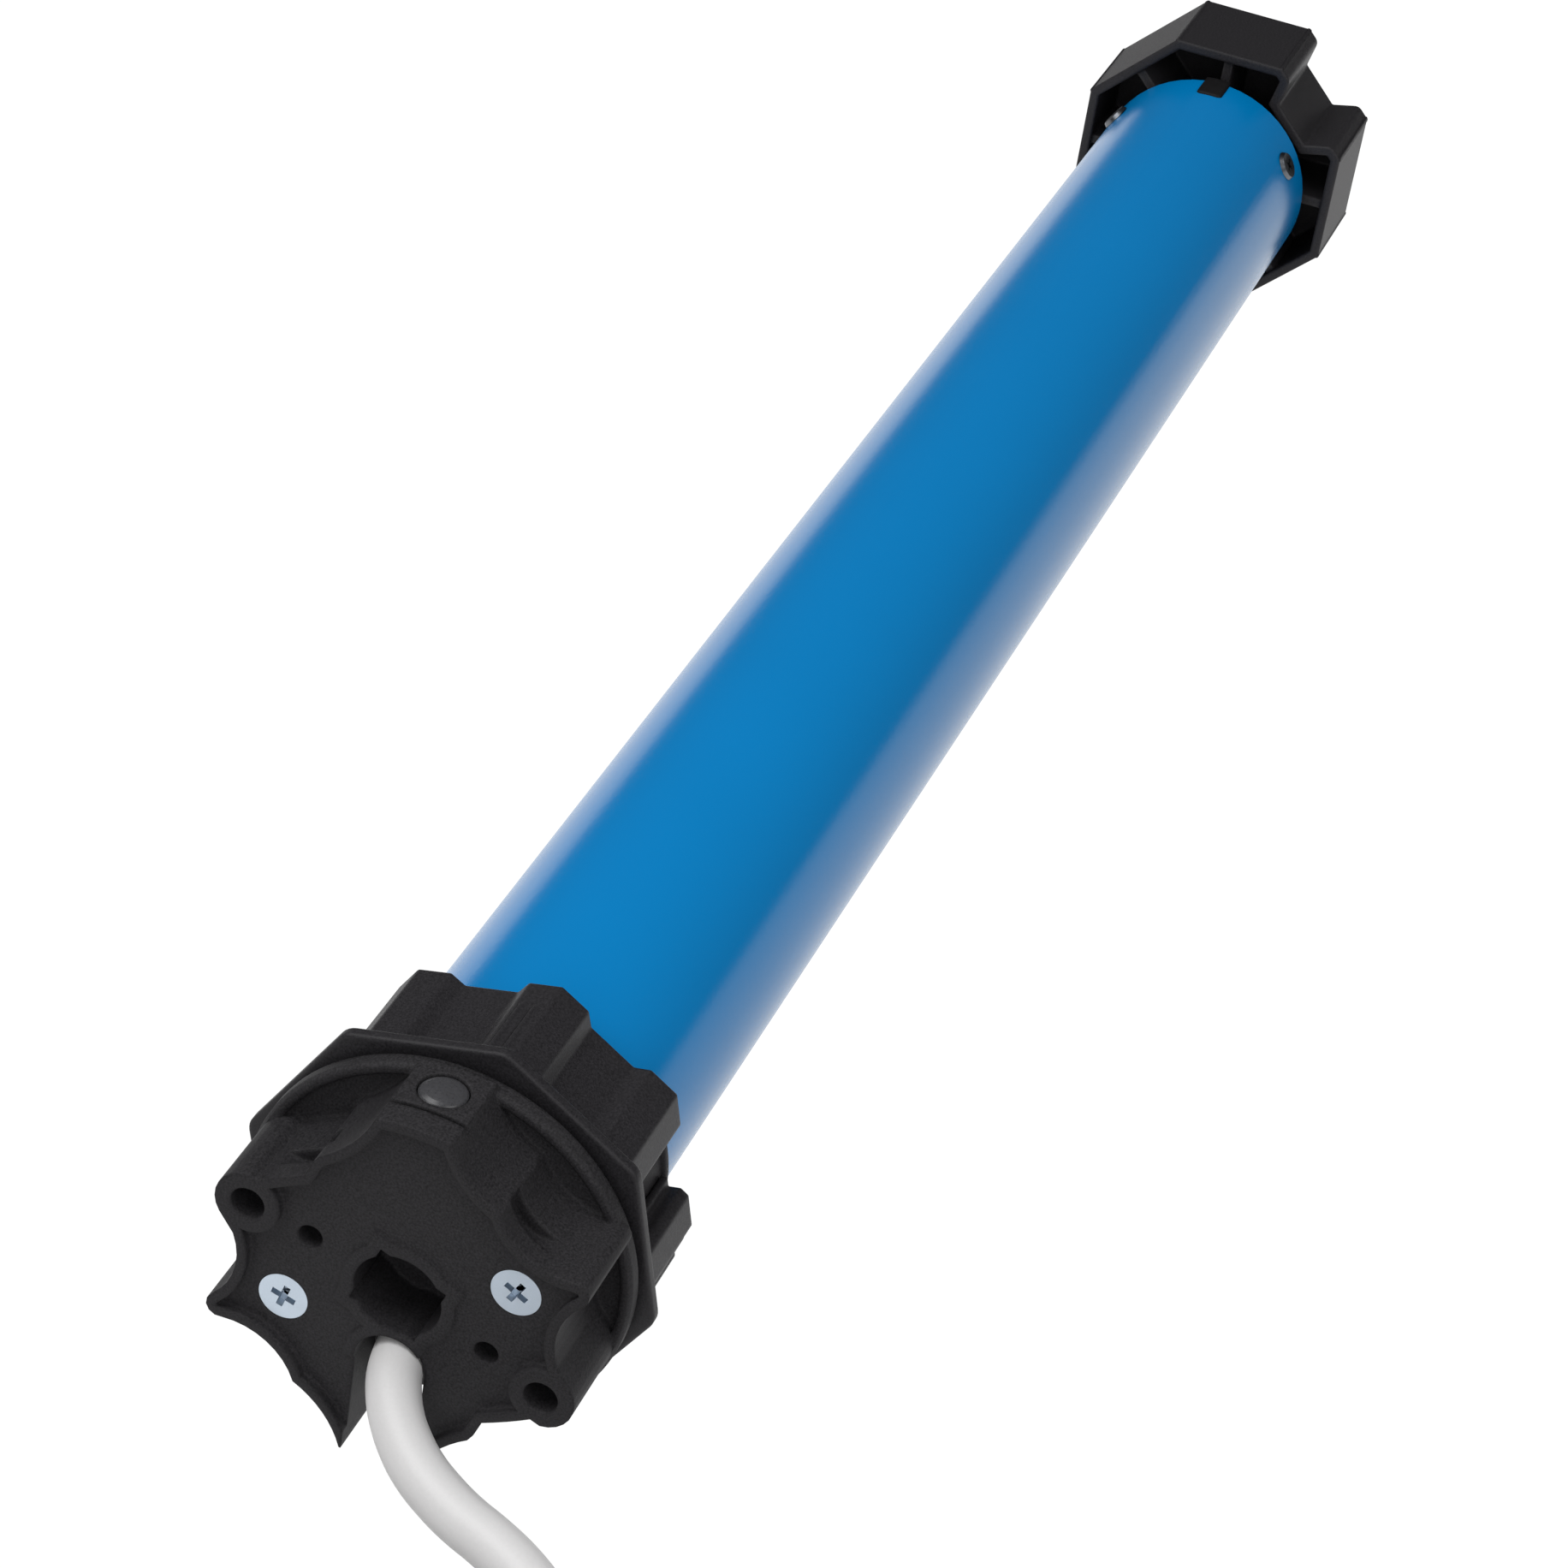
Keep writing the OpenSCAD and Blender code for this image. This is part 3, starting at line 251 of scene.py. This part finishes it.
# Sheets or wires that lie side by side: fine lines in colour and relief
def lined(name, colour, rough, metallic, scale, waviness, dark, light, depth, **kind):
    mat = material(name, colour, rough, metallic)
    wave = add(mat, "TexWave", **kind)
    wave.inputs["Scale"].default_value = scale
    wave.inputs["Distortion"].default_value = waviness
    join(mat, coordinates(mat), "Vector", wave, "Vector")
    vary_colour(mat, wave, dark, light)
    bump(mat, wave, depth)
    return mat


# Four insulated cores, told apart by which side of their middle they lie

CORES_MIDDLE_Y = 27.4 * MM
CORES_MIDDLE_Z = -18.35 * MM
CORE_BROWN = (0.09, 0.035, 0.015)
CORE_BLACK = (0.012, 0.012, 0.012)
CORE_GREEN = (0.16, 0.36, 0.03)
CORE_BLUE = (0.01, 0.06, 0.4)
CORE_GRAIN = 0.6 * MM
CORE_GRAIN_DEPTH = 0.01 * MM


def beyond(mat, parts, axis, middle):
    node = add(mat, "Math", operation="GREATER_THAN")
    node.inputs[1].default_value = middle
    join(mat, parts, axis, node, 0)
    return node


def choose(mat, switch, off=None, on=None):
    node = add(mat, "Mix", data_type="RGBA")
    for into, colour in (("A", off), ("B", on)):
        if colour is not None:
            node.inputs[into].default_value = (*colour, 1.0)
    join(mat, switch, "Value", node, "Factor")
    return node


def core_material():
    mat = material("core_colours", (0.1, 0.07, 0.05), 0.35)
    where = coordinates(mat)
    parts = add(mat, "SeparateXYZ")
    join(mat, where, "Vector", parts, "Vector")
    side = beyond(mat, parts, "Y", CORES_MIDDLE_Y)
    top = beyond(mat, parts, "Z", CORES_MIDDLE_Z)
    low = choose(mat, side, CORE_BROWN, CORE_BLACK)
    high = choose(mat, side, CORE_GREEN, CORE_BLUE)
    both = choose(mat, top)
    join(mat, low, "Result", both, "A")
    join(mat, high, "Result", both, "B")
    join(mat, both, "Result", shader_of(mat), "Base Color")
    bump(mat, noise(mat, where, CORE_GRAIN), CORE_GRAIN_DEPTH)
    return mat


# Materials

head_black = moulded("head_black", (0.0243, 0.0232, 0.0253), 0.6, grain=0.35 * MM,
                     depth=0.065 * MM, vary=0.5, shine=0.16, soft=1.0 * MM)
crown_black = moulded("crown_black", (0.0215, 0.0203, 0.0228), 0.5, grain=0.35 * MM,
                      depth=0.03 * MM, vary=0.4, shine=0.28, soft=1.0 * MM)
plug_black = moulded("plug_black", (0.0105, 0.0102, 0.011), 0.55, grain=0.3 * MM,
                     depth=0.02 * MM, vary=0.4, shine=0.2, soft=1.0 * MM)
button_grey = moulded("button_grey", (0.046, 0.046, 0.05), 0.32, grain=0.4 * MM,
                      depth=0.004 * MM)
cable_white = moulded("cable_white", (0.625, 0.618, 0.618), 0.45, grain=0.5 * MM,
                      depth=0.008 * MM, vary=0.02)
gland_grey = moulded("gland_grey", (0.02, 0.02, 0.021), 0.6, grain=0.4 * MM, depth=0.01 * MM)
tie_black = moulded("tie_black", (0.03, 0.03, 0.03), 0.75, grain=0.5 * MM, depth=0.06 * MM)
nylon = moulded("gear_nylon", (0.7, 0.66, 0.55), 0.4, grain=0.4 * MM, depth=0.006 * MM,
                vary=0.05)
lining = moulded("lining", (0.13, 0.11, 0.1), 0.8, grain=0.5 * MM, depth=0.03 * MM)
board_green = moulded("board_green", (0.02, 0.15, 0.05), 0.3, grain=0.8 * MM, depth=0.006 * MM)
part_blue = moulded("part_blue", (0.03, 0.06, 0.28), 0.35, grain=0.4 * MM, depth=0.006 * MM)
part_black = moulded("part_black", (0.02, 0.02, 0.02), 0.4, grain=0.4 * MM, depth=0.006 * MM)
terminal_green = moulded("terminal_green", (0.03, 0.23, 0.1), 0.4, grain=0.4 * MM,
                         depth=0.006 * MM)
can_white = moulded("can_white", (0.7, 0.7, 0.67), 0.35, grain=0.5 * MM, depth=0.006 * MM,
                    vary=0.03)
tube_blue = powder_coat("tube_blue", (0.0, 0.19, 0.485))
zinc = metal("zinc", (0.6, 0.68, 0.77), 0.42, grain=0.25 * MM, depth=0.004 * MM)
spring_steel = metal("spring_steel", (0.55, 0.55, 0.57), 0.25, grain=0.3 * MM,
                     depth=0.003 * MM)
magnet = metal("magnet", (0.16, 0.16, 0.17), 0.5, grain=0.2 * MM, depth=0.01 * MM)
steel = metal("steel", (0.52, 0.53, 0.55), 0.3, grain=0.2 * MM, depth=0.004 * MM,
              stretch=(0.1, 1.0, 1.0))
die_cast = metal("die_cast", (0.56, 0.57, 0.59), 0.42, grain=0.5 * MM, depth=0.015 * MM)
dark_steel = metal("dark_steel", (0.15, 0.16, 0.175), 0.35, grain=0.2 * MM, depth=0.004 * MM)
bronze = metal("bronze", (0.55, 0.38, 0.16), 0.42, grain=0.2 * MM, depth=0.01 * MM)
tin = metal("tin", (0.72, 0.72, 0.71), 0.3, grain=0.2 * MM, depth=0.003 * MM)
laminations = lined("laminations", (0.3, 0.31, 0.33), 0.45, 0.9, scale=300.0, waviness=0.6,
                    dark=(0.16, 0.165, 0.17), light=(0.4, 0.41, 0.43), depth=0.05 * MM,
                    bands_direction="X")
copper = lined("copper", (0.6, 0.26, 0.1), 0.3, 0.85, scale=500.0, waviness=0.8,
               dark=(0.3, 0.11, 0.04), light=(0.66, 0.3, 0.12), depth=0.15 * MM,
               wave_type="RINGS", rings_direction="X")
core_colours = core_material()


# Mains cable, from the head's slot to the far end of its coil. Millimetres, as in part.scad

ROUTE = [
    (9, -0.5, -12.5), (4.9, -0.5, -12.5), (0.8, -1.2, -13), (-3.1, -2.8, -13.7),
    (-6.8, -5.1, -14.6), (-10.1, -8, -15.5), (-13.1, -11.5, -16.3), (-15.6, -15.6, -17),
    (-17.8, -20.2, -17.6), (-19.6, -25.2, -18.1), (-21.8, -30.3, -18.8), (-24.7, -35.2, -19.8),
    (-28.3, -39.8, -21), (-32.5, -44.1, -22.4), (-37.2, -48, -24), (-42.5, -51.5, -25.5),
    (-48.1, -54.5, -26.8), (-54.1, -57.1, -27.7), (-60.4, -59.1, -28.2), (-66.8, -60.6, -28.1),
    (-73.4, -61.4, -27.5), (-80, -61.4, -26.95)]
COIL = Vector((-88.0, -17.0, -26.95))
COIL_R = 44.4
COIL_RUN = 85.0
COIL_PITCH = 8.6
LAYERS = 2
LAYER_TURNS = 2.3125
TURNS = LAYERS * LAYER_TURNS
POINTS_PER_TURN = 32
# The coil's last point lies just before the turn that would start a third layer
LAST_TURN = TURNS - 0.0001
END_LENGTH = 8.0
CABLE_R = 4.0
# Share of a turn that one straight run takes, at the middle radius
RUN_SHARE = COIL_RUN / (2 * COIL_RUN + 2 * math.pi * (COIL_R - COIL_PITCH * LAYER_TURNS / 2))


def coil_radius(t):
    layer = math.floor(t / LAYER_TURNS)
    part = t / LAYER_TURNS - layer
    inward = part if layer % 2 == 0 else 1 - part
    return COIL_R - COIL_PITCH * LAYER_TURNS * inward


# The cable climbs a layer within a quarter of a turn on each side of the change
def coil_height(t):
    n = max(0, min(LAYERS - 1, math.floor(t / LAYER_TURNS + 0.5)))
    if n == 0:
        return 0.0
    climbed = 0.5 + 2 * (t - n * LAYER_TURNS)
    return COIL_PITCH * (n - 1 + max(0.0, min(1.0, climbed)))


# Each turn is a run away from the head, a half circle, a run back and a half circle
def coil_point(t):
    r = coil_radius(t)
    turn = t - math.floor(t)
    out = turn < 0.5
    half = turn if out else turn - 0.5
    way = 1 if out else -1
    along = COIL_RUN * min(half / RUN_SHARE, 1.0)
    a = math.pi * max(half - RUN_SHARE, 0.0) / (0.5 - RUN_SHARE)
    x = -along if out else along - COIL_RUN
    return COIL + Vector((x - way * r * math.sin(a), -way * r * math.cos(a), coil_height(t)))


def cable_path():
    points = [Vector(p) for p in ROUTE]
    points += [coil_point(i / POINTS_PER_TURN) for i in range(round(TURNS * POINTS_PER_TURN))]
    end = coil_point(LAST_TURN)
    points += [end, end + Vector((END_LENGTH, 0.0, 0.0))]
    return [p * MM for p in points]


# Straps that hold the coil, drawn tight round the turns in the middle of each run

STRAP_R = 4.1
STRAP_THICKNESS = 1.0
STRAP_WIDTH = 5.0
STRAP_STEPS = 72
STRAP_BEVEL = 0.3
STRAP_BEVEL_ANGLE = 60.0


# Where the turns cross the middle of one run
def run_centres(half):
    first = 0.5 * half + RUN_SHARE / 2
    return [coil_point(first + k) for k in range(math.ceil(TURNS - first))]


def strap(bm, centres):
    rows = []
    for i in range(STRAP_STEPS):
        a = 2 * math.pi * i / STRAP_STEPS
        way = Vector((0.0, math.cos(a), math.sin(a)))
        at = max(centres, key=way.dot)
        side = Vector((STRAP_WIDTH / 2, 0.0, 0.0))
        inner = at + way * STRAP_R
        outer = at + way * (STRAP_R + STRAP_THICKNESS)
        corners = (inner - side, outer - side, outer + side, inner + side)
        rows.append([bm.verts.new(c * MM) for c in corners])
    for row, after in zip(rows, rows[1:] + rows[:1]):
        for k in range(len(row)):
            bm.faces.new((row[k], row[k - 1], after[k - 1], after[k]))


def make_straps():
    bm = bmesh.new()
    for half in (0, 1):
        strap(bm, run_centres(half))
    bmesh.ops.recalc_face_normals(bm, faces=bm.faces)
    mesh = bpy.data.meshes.new("coil_straps")
    bm.to_mesh(mesh)
    bm.free()
    mesh.materials.append(tie_black)
    obj = place_in_scene("coil_straps", mesh)
    bevel = obj.modifiers.new("bevel", "BEVEL")
    bevel.width = STRAP_BEVEL * MM
    bevel.segments = 2
    bevel.angle_limit = math.radians(STRAP_BEVEL_ANGLE)
    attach(obj, "motor_body")
    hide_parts("coil_tie")
    return obj


def make_cable():
    straps = make_straps()
    data = bpy.data.curves.new("mains_cable", "CURVE")
    data.dimensions = "3D"
    data.resolution_u = 4
    data.bevel_depth = CABLE_R * MM
    data.bevel_resolution = 6
    data.use_fill_caps = True
    path = cable_path()
    line = data.splines.new("BEZIER")
    line.bezier_points.add(len(path) - 1)
    for point, co in zip(line.bezier_points, path):
        point.co = co
        point.handle_left_type = "AUTO"
        point.handle_right_type = "AUTO"
    obj = place_in_scene("mains_cable", data)
    data.materials.append(cable_white)
    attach(obj, "motor_body")
    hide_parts("cable", "cable_coil")


make_cable()


# Spring under the button, which gets shorter as the button goes in


def make_spring():
    mesh = nodes["button_spring"].data.copy()
    mesh.materials.clear()
    mesh.materials.append(spring_steel)
    spring = place_in_scene("button_coil_spring", mesh)
    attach(spring, "motor_body")
    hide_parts("button_spring")
    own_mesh(spring)


make_spring()


# Floor, background and light

# The motor lies on its crown and its wheel, whose undersides differ in height, so the
# floor slopes between the two. Each row is an x and a height
FLOOR_ROWS = [(-3.0, -32.3 * MM), (0.0205, -32.3 * MM), (0.447, -28 * MM), (3.0, -28 * MM)]
FLOOR_HALF_WIDTH = 3.0
FLOOR_GREY = (0.42, 0.42, 0.42)
# How much of the floor glows for camera and glossy rays; the rest shows the shadow
GLOW_SHARE = 0.94
GLOW_SEEN = 1.08
# Glow in reflections, less in front of the head than beside the tube
GLOW_FRONT_X = -0.45
GLOW_FRONT = 0.4
GLOW_BESIDE_X = 0.0
GLOW_BESIDE = 1.15
WORLD_DIFFUSE = 0.46
WORLD_GLOSSY = 0.06
WORLD_SEEN = 1.0
# Name, place, point that it shines on, side length and power
LAMPS = [
    ("key", (-0.25, 0.65, 1.2), (0.15, 0.0, 0.0), 1.0, 12.0),
    ("fill", (-0.35, -0.8, 0.9), (0.1, 0.0, 0.0), 0.8, 4.0),
    ("front", (-1.1, -0.2, 0.55), (0.1, 0.0, 0.0), 0.6, 2.5)]


def floor_material():
    mat = material("floor_white", FLOOR_GREY, 0.8)
    paths = add(mat, "LightPath")
    seen = add(mat, "Math", operation="MAXIMUM")
    join(mat, paths, "Is Camera Ray", seen, 0)
    join(mat, paths, "Is Glossy Ray", seen, 1)
    share = add(mat, "Math", operation="MULTIPLY")
    join(mat, seen, "Value", share, 0)
    share.inputs[1].default_value = GLOW_SHARE
    sides = add(mat, "SeparateXYZ")
    join(mat, add(mat, "NewGeometry"), "Position", sides, "Vector")
    mirrored = spread(mat, sides, "X", GLOW_FRONT_X, GLOW_BESIDE_X, GLOW_FRONT, GLOW_BESIDE)
    level = spread(mat, paths, "Is Glossy Ray", 0.0, 1.0, GLOW_SEEN, GLOW_BESIDE)
    join(mat, mirrored, "Result", level, "To Max")
    glow = add(mat, "Emission")
    join(mat, level, "Result", glow, "Strength")
    mix = add(mat, "MixShader")
    join(mat, share, "Value", mix, 0)
    join(mat, shader_of(mat), 0, mix, 1)
    join(mat, glow, 0, mix, 2)
    join(mat, mix, 0, mat.node_tree.nodes["Material Output"], "Surface")
    return mat


def make_floor():
    mesh = bpy.data.meshes.new("floor")
    corners = [(x, y, z) for x, z in FLOOR_ROWS for y in (-FLOOR_HALF_WIDTH, FLOOR_HALF_WIDTH)]
    mesh.from_pydata(corners, [], [(0, 2, 3, 1), (2, 4, 5, 3), (4, 6, 7, 5)])
    mesh.materials.append(floor_material())
    place_in_scene("floor", mesh)


def make_world():
    world = bpy.data.worlds.new("world")
    bpy.context.scene.world = world
    world.use_nodes = True
    back = world.node_tree.nodes["Background"]
    back.inputs["Color"].default_value = (1.0, 1.0, 1.0, 1.0)
    paths = add(world, "LightPath")
    unseen = spread(world, paths, "Is Glossy Ray", 0.0, 1.0, WORLD_DIFFUSE, WORLD_GLOSSY)
    level = spread(world, paths, "Is Camera Ray", 0.0, 1.0, WORLD_DIFFUSE, WORLD_SEEN)
    join(world, unseen, "Result", level, "To Min")
    join(world, level, "Result", back, "Strength")


def make_lamp(name, place_at, aim, size, power):
    data = bpy.data.lights.new(name, "AREA")
    data.shape = "SQUARE"
    data.size = size
    data.energy = power
    obj = place_in_scene(name, data)
    obj.location = place_at
    away = Vector(place_at) - Vector(aim)
    obj.rotation_mode = "QUATERNION"
    obj.rotation_quaternion = away.to_track_quat("Z", "Y")


make_floor()
make_world()
for lamp in LAMPS:
    make_lamp(*lamp)


# Materials of the CAD nodes. cable, cable_coil, coil_tie and button_spring are replaced

LOOKS = {
    "star_head": head_black,
    "bearing_sleeve": head_black,
    "end_plug": plug_black,
    "crown_ring": crown_black,
    "drive_wheel": crown_black,
    "tube": tube_blue,
    "setting_button": button_grey,
    "head_screws": zinc,
    "wheel_washer": zinc,
    "wheel_screw": zinc,
    "tube_screws": dark_steel,
    "cable_gland": gland_grey,
    "inner_lead": cable_white,
    "cable_cores": core_colours,
    "core_ferrules": tin,
    "button_switch": part_black,
    "board_tray": part_black,
    "power_module": part_black,
    "capacitor_rings": part_black,
    "control_board": board_green,
    "relays": part_blue,
    "terminal_block": terminal_green,
    "run_capacitor": can_white,
    "limit_gear": nylon,
    "limit_magnet": magnet,
    "limit_pin": steel,
    "motor_front_cover": die_cast,
    "motor_rear_cover": die_cast,
    "gearbox_cover": die_cast,
    "stator_core": laminations,
    "rotor_core": laminations,
    "stator_windings": copper,
    "rotor_shaft": steel,
    "rotor_bearings": steel,
    "brake_spring": spring_steel,
    "brake_disc": lining,
    "brake_plate": steel,
    "gearbox_ring": steel,
    "carrier_1": steel,
    "carrier_2": steel,
    "output_shaft": steel,
    "output_bush": bronze}
# The last stage's planets are steel, the others nylon
for planet in "abc":
    LOOKS["planet_1" + planet] = nylon
    LOOKS["planet_2" + planet] = nylon
    LOOKS["planet_3" + planet] = steel


def dress_nodes():
    for name, look in LOOKS.items():
        for slot in nodes[name].material_slots:
            slot.material = look


# Nodes with rounded edges, and how far in the rounding reaches. Millimetres
ROUNDED = {
    "crown_ring": 0.3,
    "drive_wheel": 0.3,
    "head_screws": 0.06,
    "end_plug": 0.15,
    "tube": 0.1,
    "bearing_sleeve": 0.15}
WELD_WITHIN = 0.004
FLAT_ANGLE = 0.6
EDGE_ANGLE = 30.0


# Rounds the edges of a CAD node without touching its mesh
def round_edges(obj, width):
    weld = obj.modifiers.new("weld", "WELD")
    weld.merge_threshold = WELD_WITHIN * MM
    flat = obj.modifiers.new("flat", "DECIMATE")
    flat.decimate_type = "DISSOLVE"
    flat.angle_limit = math.radians(FLAT_ANGLE)
    bevel = obj.modifiers.new("bevel", "BEVEL")
    bevel.width = width
    bevel.segments = 2
    bevel.limit_method = "ANGLE"
    bevel.angle_limit = math.radians(EDGE_ANGLE)
    bevel.use_clamp_overlap = False
    bevel.harden_normals = False
    soft = obj.modifiers.new("soft", "WEIGHTED_NORMAL")
    soft.keep_sharp = False


dress_nodes()
for name, reach in ROUNDED.items():
    round_edges(nodes[name], reach * MM)


bpy.context.scene.view_settings.view_transform = "Standard"
